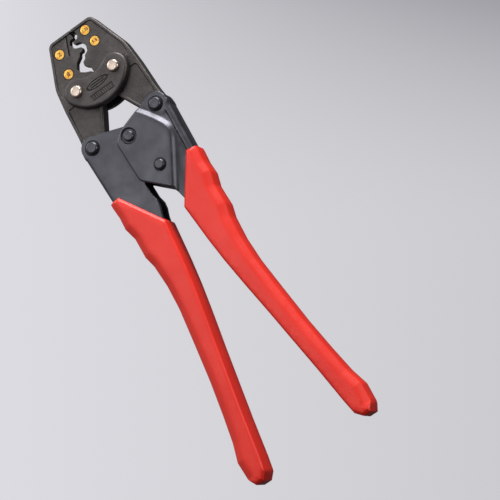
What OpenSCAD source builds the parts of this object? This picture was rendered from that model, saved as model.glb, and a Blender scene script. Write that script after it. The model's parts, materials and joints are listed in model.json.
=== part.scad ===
// Hand crimping tool for bare terminals.
// The tool stands upright on the ends of its grips, at z = 0: the jaws point up (+Z), the front
// faces -Y, and the Z axis runs midway between the jaw pins, halfway through the jaws' thickness.
// Heights are given from the line of the jaw pins, and stand() raises every part to its place.

/* [Jaws] */
// Height of the jaw tips above the jaw pins
jaw_top_z = 33.7; // [32:0.1:36]
// Thickness of both forged jaws
jaw_t = 8; // [7:0.1:9]
// Half the distance between the two jaw pins
jaw_pin_x = 12.4; // [12:0.1:12.8]
// Width of the raised rim around the jaw faces
rim_w = 1.9; // [1.4:0.1:2.4]
// Depth of the sunk panels inside the rim
panel_depth = 0.5; // [0.3:0.1:0.8]
// Half of the gap between the dies at their lower end
die_gap_low = 0.2; // [0.2:0.01:0.4]
// Angle between each die face and the centre plane, with the tool as it is drawn
die_wedge = 0.1; // [0:0.1:1]
// Thickness of the jaw heads at the dies, inside the rim
die_t = 4; // [3.5:0.1:6]
// Radius of the brass size discs
disc_r = 2.75; // [2.3:0.05:2.9]

/* [Link plates] */
// Thickness of the front and rear link plates
link_t = 4.1; // [3:0.1:4.5]
// Radius of the link plate around each jaw pin
link_lobe_r = 7.8; // [7.2:0.1:8]
// Height of the waist above the line of the jaw pins
link_waist_z = 4.3; // [3.6:0.1:5]
// Depth of the belly below the line of the jaw pins
link_belly_z = 14.3; // [13:0.1:15]

/* [Linkage] */
// Sideways distance from the centre plane to each tail pin
tail_pin_x = 21.2; // [20.8:0.1:21.6]
// Distance of the tail pins below the jaw pins
tail_pin_drop = 30.8; // [30.4:0.1:31.2]
// Distance of the centre pin below the jaw pins
centre_pin_drop = 37.7; // [37.4:0.1:38]
// Clearance around the centre pin where it passes the left handle
centre_play = 0.8; // [0.75:0.05:1]
// Running clearance of the round pins, on the radius
fit = 0.05; // [0.03:0.01:0.08]

/* [Handles] */
// Thickness of the handle sheet steel
sheet_t = 2.1; // [1.8:0.1:2.1]
// Height of the lowest point of the grips below the jaw pins
handle_drop = 232; // [228:1:236]
// Thickness of the grips from front to back
grip_t = 16.4; // [15.5:0.1:18]
// Chamfer along the long edges of the grips
grip_chamfer = 1.2; // [0.8:0.1:1.5]

/* [Ratchet] */
// Radius over the teeth of the ratchet sector
sector_r = 16.4; // [15:0.1:16.4]
// Angle from one ratchet tooth to the next
tooth_pitch = 5; // [4:1:6]
// Gap between the pawl's nose and the teeth
pawl_gap = 0.3; // [0.3:0.05:0.6]

/* [Hidden] */

$fn = 64;
CUT = 1;                 // how far a cutting body reaches past the face that it cuts
SKIN = 0.05;             // clearance between faces that slide on each other
PRESS = 0.02;            // clearance around pieces that are fixed in their seats

LEFT = -1;
RIGHT = 1;

tail_pin_z = -tail_pin_drop;
centre_pin_z = -centre_pin_drop;
pawl_pin_x = 7.0;
pawl_pin_z = -61.0;

// layers of the tool, as distances from its middle plane
jaw_face = jaw_t / 2;
link_in = jaw_face + SKIN;
link_out = link_in + link_t;
plate_in = jaw_face + 2 * SKIN;
plate_out = plate_in + sheet_t;
cover_in = plate_out + 2 * SKIN;
cover_out = cover_in + sheet_t;
panel_face = jaw_face - panel_depth;

// pins
jaw_pin_r = 2.75;
jaw_head_r = 3.5;
jaw_head_h = 1.9;
tail_pin_r = 2.5;
tail_head_r = 3.7;
centre_pin_r = 2.5;
centre_head_r = 3.15;
centre_bore_r = centre_pin_r + centre_play;
dimple_r = 4.3;
dimple_depth = 1.0;
pawl_pin_r = 2.0;
pawl_head_r = 3.0;
lug_r = 6.7;
jaw_lug_r = 6.0;

// ---------------------------------------------------------------- helpers

function unit(v) = v / norm(v);

// the arc that rounds the corner at p, between its neighbours a and b
function corner_arc(a, p, b, r, steps) =
    let (
        u = unit(a - p),
        v = unit(b - p),
        half = acos(u * v) / 2,
        reach = r / tan(half),
        c = p + unit(u + v) * r / sin(half),
        s = p + u * reach - c,
        e = p + v * reach - c,
        a0 = atan2(s[1], s[0]),
        turn = (atan2(e[1], e[0]) - a0 + 540) % 360 - 180
    )
    [for (i = [0:steps]) c + r * [cos(a0 + turn * i / steps), sin(a0 + turn * i / steps)]];

function flat(p) = [p[0], p[1]];
function reversed(list) = [for (i = [len(list) - 1:-1:0]) list[i]];

// closed outline from corners given as [x, z, radius]
function rounded(corners, steps = 8) =
    let (n = len(corners))
    [for (i = [0:n - 1])
        each (corners[i][2] > 0
            ? corner_arc(flat(corners[(i + n - 1) % n]), flat(corners[i]),
                         flat(corners[(i + 1) % n]), corners[i][2], steps)
            : [flat(corners[i])])];

// the same outline on the other side of the centre plane
module side(s) {
    if (s == RIGHT) children();
    else mirror([1, 0]) children();
}

// stands a flat outline up in the XZ plane, from y0 to y1
module slab(y0, y1) {
    translate([0, y1, 0]) rotate([90, 0, 0]) linear_extrude(y1 - y0) children();
}

// the same slab in front of and behind the middle plane
module both_sides(inner, outer) {
    slab(-outer, -inner) children();
    slab(inner, outer) children();
}

module at(x, z) { translate([x, 0, z]) children(); }

// raises a finished part from the jaw pin line's level to its height above the grip ends
module stand() { translate([0, 0, handle_drop]) children(); }

// a round bar along Y, from y0 to y1
module bar(r, y0, y1) {
    translate([0, y1, 0]) rotate([90, 0, 0]) cylinder(r = r, h = y1 - y0);
}

// a domed head that stands on y = face and points along dir (-1 is the front)
module dome(r, h, face, dir) {
    ball_r = (r * r + h * h) / (2 * h);
    translate([0, face, 0]) rotate([-90 * dir, 0, 0])
        rotate_extrude()
            intersection() {
                translate([0, h - ball_r]) circle(r = ball_r);
                square([r, h]);
            }
}

// a riveted pin with a domed head in front and behind
module rivet(r, head_r, head_h, face, seat) {
    bar(r, -face, face);
    for (dir = [-1, 1]) {
        dome(head_r, head_h, dir * (face + seat), dir);
        if (seat > 0) bar(head_r, min(dir * face, dir * (face + seat)), max(dir * face, dir * (face + seat)));
    }
}

// ---------------------------------------------------------------- outlines

// height of the lower end of the dies above the jaw pins
die_foot_z = 6;

// half of the gap between the dies at height z
function gap_at(z) = die_gap_low + (z - die_foot_z) * tan(die_wedge);

// Die edges of the two jaws, listed downwards as [x, z, radius] from nest to tooth and back.
// Each x is measured from the centre plane towards the jaw's own side.
RIGHT_DIES = [[0.2, 32.2, 0.3], [2.2, 31.8, 1.1], [2.5, 28.3, 1.2], [0.9, 27, 0.6], [-1.5, 26.8, 0.5],
              [-1.7, 25.4, 0.5], [1.9, 24.5, 1.2], [4, 21, 2], [3, 17.9, 1], [0.5, 16.6, 0.8],
              [-0.1, 15, 0.6], [-2.2, 13.8, 0.9], [-2.6, 11.4, 0.8], [-0.4, 9.4, 0.9], [0.2, 8.4, 0.3]];
LEFT_DIES = [[0.2, 32.4, 0.2], [1.2, 31.8, 0.35], [0.3, 30.4, 0.5], [0.3, 28.5, 0.4], [2.6, 28.5, 0.9],
             [3.9, 26.4, 1.2], [3.2, 23.9, 1], [1.9, 22.9, 0.5], [-1.2, 21.6, 0.5], [-1.1, 20.4, 0.4],
             [-0.5, 19.3, 0.5], [1.3, 19.3, 0.8], [2.4, 17.5, 0.7], [5.6, 15.4, 1.5], [7.4, 12.2, 1.5],
             [6.6, 10.2, 1], [3.9, 8.3, 2], [0.8, 6.9, 0.3]];

// one forged jaw: head, waist and tail, on the right of the centre plane
module jaw_outline(dies) {
    polygon(rounded(concat(
        [
            [gap_at(jaw_top_z), jaw_top_z, 0],
            [14.4, jaw_top_z, 3.8],
            [23.7, 9.5, 20],
            [25.1, -4, 40],
            [25.9, -22, 60],
            [tail_pin_x + jaw_lug_r, tail_pin_z, 4],
            [tail_pin_x + 1, tail_pin_z - jaw_lug_r, 4],
            [13.4, -29.8, 2],
            [5.9, -15.6, 4],
            [0.8, 0.5, 3],
            [gap_at(die_foot_z), die_foot_z, 0]
        ],
        reversed(dies)
    )));
}

// the sunk panel of the jaw head inside a rim, which runs out over the dies
module head_panel(rim) {
    foot = 3.5 + rim - rim_w;
    polygon(rounded([
        [-9, jaw_top_z - rim, 0],
        [15.4 - 1.2 * rim, jaw_top_z - rim, 2.4],
        [23.7 - rim, 9.8, 16],
        [24.2 - rim, foot, 1],
        [-9, foot, 0]
    ]));
}

pocket_step = 0.7;
jaw_boss_r = 6.2;

// the deeper pocket behind the dies, which stops at the boss around the jaw pin
module head_pocket() {
    difference() {
        head_panel(rim_w + pocket_step);
        translate([jaw_pin_x, 0]) circle(r = jaw_boss_r);
    }
}

// the sunk panel of the jaw tail, which stops at the boss around the tail pin
module tail_panel() {
    difference() {
        polygon(rounded([
            [6, -3.6, 0],
            [24.9 - rim_w, -4.4, 1.5],
            [26.2 - rim_w, -26, 0],
            [14.2, -27.6, 1],
            [7.6, -14.9, 1]
        ]));
        translate([tail_pin_x, tail_pin_z]) circle(r = jaw_lug_r + boss_rim);
    }
}

boss_rim = 1.7;

// link plate: a lobe around each jaw pin, joined by a waist arc above and a belly arc below
waist_rise = link_lobe_r - link_waist_z;
waist_c = (pow(jaw_pin_x, 2) - pow(waist_rise, 2)) / (2 * waist_rise);
waist_r = waist_c - link_waist_z;
belly_rise = link_belly_z - link_lobe_r;
belly_c = (pow(jaw_pin_x, 2) - pow(belly_rise, 2)) / (2 * belly_rise);
belly_r = belly_c + link_belly_z;
// directions in which the arcs meet the lobes
waist_a = atan2(waist_c, -jaw_pin_x);
belly_a = atan2(-belly_c, jaw_pin_x);

// points of an arc around c, from angle a0 to a1
function arc(c, r, a0, a1, steps) =
    [for (i = [0:steps]) let (a = a0 + (a1 - a0) * i / steps) c + r * [cos(a), sin(a)]];

module link_outline() {
    difference() {
        polygon(concat(
            arc([0, waist_c], waist_r, waist_a - 180, -waist_a, 24),
            arc([jaw_pin_x, 0], link_lobe_r, waist_a, belly_a, 40),
            arc([0, belly_c], belly_r, belly_a, -180 - belly_a, 48),
            arc([-jaw_pin_x, 0], link_lobe_r, 180 - belly_a, 180 - waist_a, 40)
        ));
        for (s = [LEFT, RIGHT]) translate([s * jaw_pin_x, 0]) circle(r = jaw_pin_r + fit);
    }
}

// Lines along a handle, listed downwards as [x, z] on the right of the centre plane:
// the outer and inner edges of the steel, and of the grip around it.
STEEL_OUTER = [[28, -35], [27, -62], [24.2, -88], [22.8, -105], [22, -118], [22.6, -132],
               [24.6, -149], [27.6, -173], [30.8, -192], [34, -207], [35.4, -218]];
STEEL_INNER = [[7.8, -90], [10.2, -111], [12, -125], [14.8, -142], [18.2, -161],
               [21.4, -180], [24.8, -200], [28, -219]];
GRIP_INNER = [[6.2, -87.4], [8.4, -110], [10.2, -124], [13, -141], [16.4, -160], [19.6, -179],
              [23, -199], [26.2, -220]];
GRIP_OUTER = [[28.4, -65], [27.8, -72], [28.2, -79], [26.2, -86.5], [26.4, -98], [24.7, -105],
              [23.9, -118], [24.5, -132], [26.6, -149], [29.7, -173], [32.9, -192],
              [35.8, -207], [38.8, -217]];

function shifted(list, dx) = [for (p = list) [p[0] + dx, p[1]]];

// where the top edge of a handle plate leaves the lug around its tail pin
LUG_TOP = [tail_pin_x - 2, tail_pin_z + lug_r - 0.3];

// left handle plate above the grip: tail pin lug, top edge and the broad part around
// the centre pin, whose right side lies under the cover of the other handle
module left_plate_outline() {
    polygon(concat(
        [[28.0, -31.5]], STEEL_OUTER, reversed(STEEL_INNER),
        [[6.4, -83], [5, -79], [4.6, -75.4], [5.6, -71.5], [5.8, -64.5], [2.5, -56], [-2.5, -50],
         [-6.4, -40.5], [-5, -33], [0, centre_pin_z + lug_r], LUG_TOP]
    ));
    translate([tail_pin_x, tail_pin_z]) circle(r = lug_r);
    translate([0, centre_pin_z]) circle(r = lug_r);
}

// right handle plate at the level of the tail pin
SHOULDER = [[9.6, -28.3], [15.2, -35.4], [20.3, -43.8], [20.9, -48.6], [16.6, -56.8], [6.4, -75.4]];
SHOULDER_FOOT = [[12.2, -27.3], [17.6, -34], [22.7, -42.9], [23.3, -49.2], [18.8, -57.8], [8.2, -77.2]];

module right_plate_outline() {
    polygon(concat(
        [LUG_TOP, [28.0, -31.5]], STEEL_OUTER, reversed(STEEL_INNER),
        [[8.4, -83], [7.4, -78.6]], reversed(SHOULDER)
    ));
    translate([tail_pin_x, tail_pin_z]) circle(r = lug_r);
}

// raised cover of the right handle, over the end of the left handle
module cover_outline() {
    polygon(rounded(concat(
        [[-7.4, -62, 5], [-8.2, -37.2, 4], [-2.6, -32.4, 5]],
        [for (p = SHOULDER) [p[0], p[1], 0]]
    )));
}

// the joggle between the cover and the lower plate
module shoulder_outline() {
    polygon(concat(SHOULDER, reversed(SHOULDER_FOOT)));
}

// outer wall of a handle, which joins its front and rear plates
module web_outline() {
    polygon(concat(STEEL_OUTER, reversed(shifted(STEEL_OUTER, -sheet_t))));
}

// grip outline, drawn in by inset on every side
module grip_outline(inset) {
    polygon(concat(
        [[22.5, -62.4 - inset]],
        shifted(GRIP_INNER, inset),
        [[27.8 + inset, 3.5 - handle_drop + inset], [31 + inset / 2, -handle_drop + inset],
         [35.6 - inset / 2, -handle_drop + inset], [38.4 - inset, 5 - handle_drop + inset / 2]],
        reversed(shifted(GRIP_OUTER, -inset)),
        [[GRIP_OUTER[0][0] - inset, -63 - inset]]
    ));
}

// ---------------------------------------------------------------- head

module link_plate(y0, y1) {
    slab(y0, y1) link_outline();
}

module front_link_plate() {
    color([0.16, 0.15, 0.15]) stand() link_plate(-link_out, -link_in);
}

module rear_link_plate() {
    color([0.16, 0.15, 0.15]) stand() link_plate(link_in, link_out);
}

washer_r = 4.6;
washer_t = 0.8;
nut_across = 8.0;
nut_h = 2.6;
nut_far = link_out + washer_t + nut_h;
thread_end = 0.4;

module each_jaw_pin() {
    for (s = [LEFT, RIGHT]) at(s * jaw_pin_x, 0) children();
}

module jaw_pins() {
    color([0.8, 0.78, 0.74]) stand() each_jaw_pin() {
        bar(jaw_pin_r, -link_out, nut_far + thread_end);
        dome(jaw_head_r, jaw_head_h, -link_out, -1);
    }
}

module jaw_pin_washers() {
    color([0.7, 0.7, 0.7]) stand() each_jaw_pin() difference() {
        bar(washer_r, link_out, link_out + washer_t);
        bar(jaw_pin_r + fit, link_out - CUT, link_out + washer_t + CUT);
    }
}

module jaw_pin_nuts() {
    color([0.7, 0.7, 0.7]) stand() each_jaw_pin() difference() {
        slab(link_out + washer_t, nut_far) circle(d = nut_across / cos(30), $fn = 6);
        bar(jaw_pin_r + PRESS, link_out, nut_far + CUT);
    }
}

// ---------------------------------------------------------------- jaws

module jaw(s) {
    difference() {
        slab(-jaw_face, jaw_face) side(s) jaw_outline(s == LEFT ? LEFT_DIES : RIGHT_DIES);
        both_sides(panel_face, jaw_face + CUT) side(s) {
            head_panel(rim_w);
            tail_panel();
        }
        slab(die_t - panel_face, jaw_face + CUT) side(s) head_pocket();
        at(s * jaw_pin_x, 0) bar(jaw_pin_r + fit, -jaw_face - CUT, jaw_face + CUT);
        at(s * tail_pin_x, tail_pin_z) bar(tail_pin_r + PRESS, -jaw_face - CUT, jaw_face + CUT);
        disc_seats(s);
    }
}

// size discs beside the dies: [x, z], outwards from the centre plane
LEFT_DISCS = [[11.5, 25.4], [12.7, 13.1]];
RIGHT_DISCS = [[7.8, 28.5], [9.4, 20.1]];
disc_t = 1.2;

module each_disc(s) {
    for (p = s == LEFT ? LEFT_DISCS : RIGHT_DISCS) at(s * p[0], p[1]) children();
}

module disc_seats(s) {
    each_disc(s) bar(disc_r + PRESS, -jaw_face - CUT, -panel_face + disc_t + PRESS);
}

module discs(s) {
    color([0.85, 0.62, 0.2]) stand() each_disc(s) bar(disc_r, -panel_face, -panel_face + disc_t);
}

module left_jaw() {
    color([0.24, 0.23, 0.22]) stand() difference() {
        jaw(LEFT);
        slab(-jaw_face, -panel_face + die_line_depth) die_line();
    }
}

die_line_depth = 0.3;

// shallow line on the left jaw beside the two smallest dies
module die_line() {
    polygon([[-2.9, 32], [-3.6, 32], [-7.3, 21.6], [-6.7, 21.4]]);
}

module right_jaw() {
    color([0.24, 0.23, 0.22]) stand() jaw(RIGHT);
}

module left_size_discs() { discs(LEFT); }
module right_size_discs() { discs(RIGHT); }

module tail_pin(s) {
    color([0.2, 0.2, 0.22]) stand() at(s * tail_pin_x, tail_pin_z)
        rivet(tail_pin_r, tail_head_r, 1.9, plate_out, SKIN);
}

module left_tail_pin() { tail_pin(LEFT); }
module right_tail_pin() { tail_pin(RIGHT); }

// ---------------------------------------------------------------- left handle

module tail_pin_bore(s) {
    at(s * tail_pin_x, tail_pin_z) bar(tail_pin_r + fit, -plate_out - CUT, plate_out + CUT);
}

module left_handle() {
    color([0.3, 0.3, 0.33]) stand() difference() {
        union() {
            both_sides(plate_in, plate_out) side(LEFT) left_plate_outline();
            slab(-plate_out, plate_out) side(LEFT) web_outline();
        }
        tail_pin_bore(LEFT);
        at(0, centre_pin_z) bar(centre_bore_r, -plate_out - CUT, plate_out + CUT);
        each_sector_rivet() bar(sector_rivet_r + PRESS, -plate_out - CUT, plate_out + CUT);
    }
}

sector_rivet_r = 1.6;
SECTOR_RIVETS = [[-4.2, -46.2], [-5.4, -50.2]];
sector_half_t = jaw_face - SKIN;
first_tooth = -88;
last_tooth = -22;

module each_sector_rivet() {
    for (p = SECTOR_RIVETS) at(p[0], p[1]) children();
}

// pie slice around the centre pin, from angle a0 to a1
module slice(r, a0, a1) {
    steps = 8;
    polygon(concat([[0, 0]], [for (i = [0:steps]) let (a = a0 + (a1 - a0) * i / steps) 1.2 * r * [cos(a), sin(a)]]));
}

module sector_outline() {
    difference() {
        union() {
            circle(r = lug_r);
            intersection() {
                circle(r = sector_r, $fn = 128);
                slice(sector_r, -140, last_tooth);
            }
        }
        for (a = [first_tooth:tooth_pitch:last_tooth])
            rotate(a) polygon([[sector_r - 1.3, 0.35], [sector_r - 1.3, -0.35],
                               [sector_r + CUT, -0.9], [sector_r + CUT, 0.9]]);
        circle(r = centre_bore_r);
    }
}

module ratchet_sector() {
    color([0.45, 0.44, 0.42]) stand() difference() {
        slab(-sector_half_t, sector_half_t) translate([0, centre_pin_z]) sector_outline();
        each_sector_rivet() bar(sector_rivet_r + PRESS, -plate_out, plate_out);
    }
}

module sector_rivets() {
    color([0.25, 0.25, 0.27]) stand() each_sector_rivet() bar(sector_rivet_r, -plate_out, plate_out);
}

// ---------------------------------------------------------------- right handle

module centre_pin_bore(r) {
    at(0, centre_pin_z) bar(r, -cover_out - CUT, cover_out + CUT);
}

module pawl_pin_bore(r) {
    at(pawl_pin_x, pawl_pin_z) bar(r, -cover_out - CUT, cover_out + CUT);
}

module dimples() {
    for (y = [-cover_out - CUT, cover_out - dimple_depth])
        at(0, centre_pin_z) bar(dimple_r, y, y + dimple_depth + CUT);
}

module right_handle() {
    color([0.3, 0.3, 0.33]) stand() difference() {
        union() {
            both_sides(plate_in, plate_out) right_plate_outline();
            both_sides(cover_in, cover_out) cover_outline();
            both_sides(plate_in, cover_out - 0.6) shoulder_outline();
            slab(-plate_out, plate_out) web_outline();
        }
        tail_pin_bore(RIGHT);
        centre_pin_bore(centre_pin_r + PRESS);
        pawl_pin_bore(pawl_pin_r + PRESS);
        dimples();
    }
}

module centre_pin() {
    color([0.2, 0.2, 0.22]) stand() at(0, centre_pin_z)
        rivet(centre_pin_r, centre_head_r, 1.7, cover_out - dimple_depth, 0);
}

module pawl_pin() {
    color([0.2, 0.2, 0.22]) stand() at(pawl_pin_x, pawl_pin_z)
        rivet(pawl_pin_r, pawl_head_r, 1.6, cover_out, 0);
}

pawl_half_t = 2.4;
spacer_r = 3.2;

module pawl_spacers() {
    color([0.6, 0.58, 0.5]) stand() at(pawl_pin_x, pawl_pin_z)
        for (y = [-cover_in, pawl_half_t + SKIN])
            difference() {
                bar(spacer_r, y, y + cover_in - pawl_half_t - SKIN);
                bar(pawl_pin_r + PRESS, y - CUT, y + cover_in);
            }
}

spring_r = 4.0;
spring_wire = 0.4;
spring_coils = 4;
coil_pitch = 1.8 * spring_wire;      // close-wound, so each coil touches the next
spring_y = pawl_half_t + 0.6;
POST = [13.2, -56.5];
post_r = 1.0;

// torsion spring around the front pawl spacer, with one leg held by the spring post
module pawl_spring() {
    color([0.65, 0.65, 0.66]) stand() {
        at(pawl_pin_x, pawl_pin_z)
            for (i = [0:spring_coils - 1])
                translate([0, -spring_y - i * coil_pitch, 0]) rotate([90, 0, 0])
                    rotate_extrude() translate([spring_r, 0]) circle(r = spring_wire, $fn = 24);
        spring_leg();
    }
}

module spring_leg() {
    leg_len = 4.6;
    at(pawl_pin_x + spring_r, pawl_pin_z) translate([0, -spring_y, 0])
        cylinder(r = spring_wire, h = leg_len, $fn = 24);
}

module spring_post() {
    color([0.25, 0.25, 0.27]) stand() at(POST[0], POST[1]) bar(post_r, -cover_in, cover_in);
}

// ---------------------------------------------------------------- pawl

pawl_hub_r = 3.6;
nose_reach = norm([pawl_pin_x, pawl_pin_z - centre_pin_z]) - sector_r - pawl_gap;
nose_angle = atan2(centre_pin_z - pawl_pin_z, -pawl_pin_x);

module ratchet_pawl() {
    color([0.45, 0.44, 0.42]) stand() at(pawl_pin_x, pawl_pin_z) difference() {
        union() {
            bar(pawl_hub_r, -pawl_half_t, pawl_half_t);
            slab(-pawl_half_t, pawl_half_t) rotate(nose_angle)
                polygon([[0, -pawl_hub_r + 0.2], [nose_reach, -0.5],
                         [nose_reach, 0.5], [0, pawl_hub_r - 0.2]]);
        }
        bar(pawl_pin_r + fit, -pawl_half_t - CUT, pawl_half_t + CUT);
    }
}

// ---------------------------------------------------------------- grips

// dipped grip: a sleeve around the handle steel, with chamfered long edges
module grip(s) {
    half = grip_t / 2;
    difference() {
        union() {
            slab(grip_chamfer - half, half - grip_chamfer) side(s) grip_outline(0);
            slab(-half, half) side(s) grip_outline(grip_chamfer);
        }
        slab(-plate_out - PRESS, plate_out + PRESS) side(s) steel_pocket();
    }
}

pocket_end_z = -219.5;

// room for the steel, open at the mouth of the grip
module steel_pocket() {
    polygon(concat(shifted(STEEL_OUTER, PRESS), [[35.4 + PRESS, pocket_end_z], [28 - PRESS, pocket_end_z]],
                   reversed(shifted(STEEL_INNER, -PRESS)), [[4.4, -78], [4, -60]]));
}

module left_grip() { color([0.86, 0.2, 0.14]) stand() grip(LEFT); }
module right_grip() { color([0.86, 0.2, 0.14]) stand() grip(RIGHT); }

// ---------------------------------------------------------------- assembly

front_link_plate();
rear_link_plate();
jaw_pins();
jaw_pin_washers();
jaw_pin_nuts();
left_jaw();
left_size_discs();
left_tail_pin();
right_jaw();
right_size_discs();
right_tail_pin();
left_handle();
ratchet_sector();
sector_rivets();
left_grip();
right_handle();
centre_pin();
pawl_pin();
pawl_spacers();
pawl_spring();
spring_post();
right_grip();
ratchet_pawl();
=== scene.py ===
"""Looks for the crimping tool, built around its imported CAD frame. Lengths in the shape code are in mm."""
import json
import math
from collections import Counter

import bmesh
import bpy
import numpy as np
from mathutils import Matrix, Vector, kdtree
from mathutils.geometry import delaunay_2d_cdt

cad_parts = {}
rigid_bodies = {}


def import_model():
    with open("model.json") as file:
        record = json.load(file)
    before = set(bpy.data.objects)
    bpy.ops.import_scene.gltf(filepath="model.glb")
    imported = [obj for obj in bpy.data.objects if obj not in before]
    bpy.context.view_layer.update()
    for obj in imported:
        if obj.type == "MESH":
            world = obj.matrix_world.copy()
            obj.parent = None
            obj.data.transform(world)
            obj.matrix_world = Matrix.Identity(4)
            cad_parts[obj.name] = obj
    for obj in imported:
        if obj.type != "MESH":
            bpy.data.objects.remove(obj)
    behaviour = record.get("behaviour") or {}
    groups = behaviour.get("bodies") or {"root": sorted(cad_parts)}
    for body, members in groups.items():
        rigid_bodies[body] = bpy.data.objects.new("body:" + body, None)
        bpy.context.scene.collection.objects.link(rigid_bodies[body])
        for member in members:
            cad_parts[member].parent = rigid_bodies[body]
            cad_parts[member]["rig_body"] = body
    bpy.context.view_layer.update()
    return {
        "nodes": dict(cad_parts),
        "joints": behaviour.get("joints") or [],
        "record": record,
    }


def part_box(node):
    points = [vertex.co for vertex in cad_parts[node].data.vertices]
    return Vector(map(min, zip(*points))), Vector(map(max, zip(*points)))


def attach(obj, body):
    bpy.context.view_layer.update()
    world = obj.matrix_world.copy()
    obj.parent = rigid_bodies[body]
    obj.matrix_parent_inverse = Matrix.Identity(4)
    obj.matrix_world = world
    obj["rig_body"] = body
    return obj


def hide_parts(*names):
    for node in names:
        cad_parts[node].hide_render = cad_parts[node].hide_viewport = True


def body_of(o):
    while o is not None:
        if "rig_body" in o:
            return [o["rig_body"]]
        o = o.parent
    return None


MM = 0.001

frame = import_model()
nodes = frame["nodes"]
pivots = {j["name"]: Vector(j["pos_m"]) / MM for j in frame["joints"]}
PIN_Z = pivots["right_jaw_pivot"].z
PIN_X = pivots["right_jaw_pivot"].x
TAIL = pivots["right_handle_pivot"]
PAWL = pivots["pawl_pivot"]
CENTRE_Z = sum(c.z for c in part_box("centre_pin")) / 2 / MM
LEFT, RIGHT = -1, 1
FRONT, BACK = -1, 1


def face_of(node):
    """Distance from the middle plane to a node's front face."""
    return -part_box(node)[0].y / MM


# ------------------------------------------------------------------ materials

def rgb(r, g, b):
    """Linear colour from 0-255 display values."""
    return [((v / 255 + 0.055) / 1.055) ** 2.4 if v > 10 else v / 255 / 12.92 for v in (r, g, b)] + [1]


class Tree:
    """A material's nodes, made and wired in one call each."""

    def __init__(self, name):
        self.material = bpy.data.materials.new(name)
        self.material.use_nodes = True
        self.nodes = self.material.node_tree.nodes
        self.links = self.material.node_tree.links
        self.shader = self.nodes["Principled BSDF"]
        self.place = self.add("ShaderNodeTexCoord").outputs["Object"]

    def add(self, kind, sockets=None, **settings):
        node = self.nodes.new(kind)
        for key, value in settings.items():
            setattr(node, key, value)
        for key, value in (sockets or {}).items():
            self.put(node.inputs[key], value)
        return node

    def put(self, socket, value):
        if isinstance(value, bpy.types.NodeSocket):
            self.links.new(value, socket)
        else:
            socket.default_value = value

    def noise(self, size, detail=3, rough=0.5, stretch=(1, 1, 1)):
        """Noise whose features are about size mm across."""
        place = self.place
        if stretch != (1, 1, 1):
            place = self.add("ShaderNodeMapping", {"Vector": place, "Scale": stretch}).outputs[0]
        return self.add("ShaderNodeTexNoise", {"Vector": place, "Scale": 1 / (size * MM),
                                               "Detail": detail, "Roughness": rough}).outputs[0]

    def ramp(self, value, low, high, out_low=0.0, out_high=1.0):
        return self.add("ShaderNodeMapRange", {"Value": value, "From Min": low, "From Max": high,
                                               "To Min": out_low, "To Max": out_high}).outputs[0]

    def maths(self, operation, a, b=0.0):
        node = self.add("ShaderNodeMath", operation=operation)
        self.put(node.inputs[0], a)
        self.put(node.inputs[1], b)
        return node.outputs[0]

    def mix(self, factor, a, b):
        node = self.add("ShaderNodeMix", data_type="RGBA")
        for index, value in ((0, factor), (6, a), (7, b)):
            self.put(node.inputs[index], value)
        return node.outputs[2]

    def edges(self, radius, low, high):
        """1 on edges sharper than radius mm, 0 on open faces."""
        soft = self.add("ShaderNodeBevel", {"Radius": radius * MM}, samples=6).outputs[0]
        true = self.add("ShaderNodeNewGeometry").outputs["Normal"]
        dot = self.add("ShaderNodeVectorMath", {0: soft, 1: true}, operation="DOT_PRODUCT")
        return self.ramp(dot.outputs["Value"], high, low)

    def sunk(self):
        """1 where a piece's points are marked as lying in a sunk line, where the finishes darken them as
        painted shade.
        """
        return self.add("ShaderNodeAttribute", attribute_name="sunk").outputs["Fac"]

    def bump(self, parts):
        """Chains (height, strength, depth in mm) bumps into the shader's normal."""
        normal = None
        for height, strength, depth in parts:
            node = self.add("ShaderNodeBump", {"Height": height, "Strength": strength,
                                               "Distance": depth * MM})
            if normal is not None:
                self.put(node.inputs["Normal"], normal)
            normal = node.outputs[0]
        return normal

    def finish(self, **sockets):
        for key, value in sockets.items():
            self.put(self.shader.inputs[key.replace("_", " ")], value)
        return self.material


def forged_steel():
    t = Tree("forged_steel")
    cloud, grain = t.noise(7, 4, 0.6), t.noise(0.55, 5, 0.65)
    base = t.mix(t.ramp(cloud, 0.35, 0.7), rgb(53, 50, 50), rgb(77, 73, 72))
    base = t.mix(t.ramp(grain, 0.4, 0.75, 0, 0.55), base, rgb(97, 91, 88))
    patches = t.ramp(t.noise(1.6, 4, 0.7), 0.35, 0.65, 0.1, 0.7)
    worn = t.maths("MULTIPLY", t.edges(0.5, 0.93, 0.995), patches)
    base = t.mix(t.maths("MULTIPLY", worn, 0.15), base, rgb(130, 126, 120))
    # Painted shade where a piece is marked as lying in a sunk line or step.
    base = t.mix(t.sunk(), base, rgb(22, 20, 19))
    rough = t.ramp(grain, 0.3, 0.7, 0.36, 0.54)
    return t.finish(Base_Color=base, Metallic=0.75, Roughness=rough,
                    Normal=t.bump([(grain, 0.5, 0.12), (t.noise(2.6, 3), 0.35, 0.3)]))


def pressed_steel():
    t = Tree("pressed_steel")
    cloud, grain = t.noise(14, 4, 0.55), t.noise(0.4, 4, 0.6)
    base = t.mix(t.ramp(cloud, 0.35, 0.7), rgb(64, 64, 69), rgb(78, 78, 84))
    base = t.mix(t.ramp(grain, 0.45, 0.8, 0, 0.25), base, rgb(104, 104, 109))
    patches = t.ramp(t.noise(2.2, 4, 0.7), 0.35, 0.65, 0.1, 0.8)
    worn = t.maths("MULTIPLY", t.edges(0.5, 0.9, 0.99), patches)
    base = t.mix(t.maths("MULTIPLY", worn, 0.3), base, rgb(140, 140, 145))
    # Painted shade where a piece is marked as lying in a sunk line or step.
    base = t.mix(t.sunk(), base, rgb(24, 24, 27))
    rough = t.ramp(t.noise(5, 5, 0.6), 0.3, 0.7, 0.3, 0.42)
    return t.finish(Base_Color=base, Metallic=0.8, Roughness=rough,
                    Normal=t.bump([(grain, 0.25, 0.05), (t.noise(6, 2), 0.05, 0.4)]))


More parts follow.
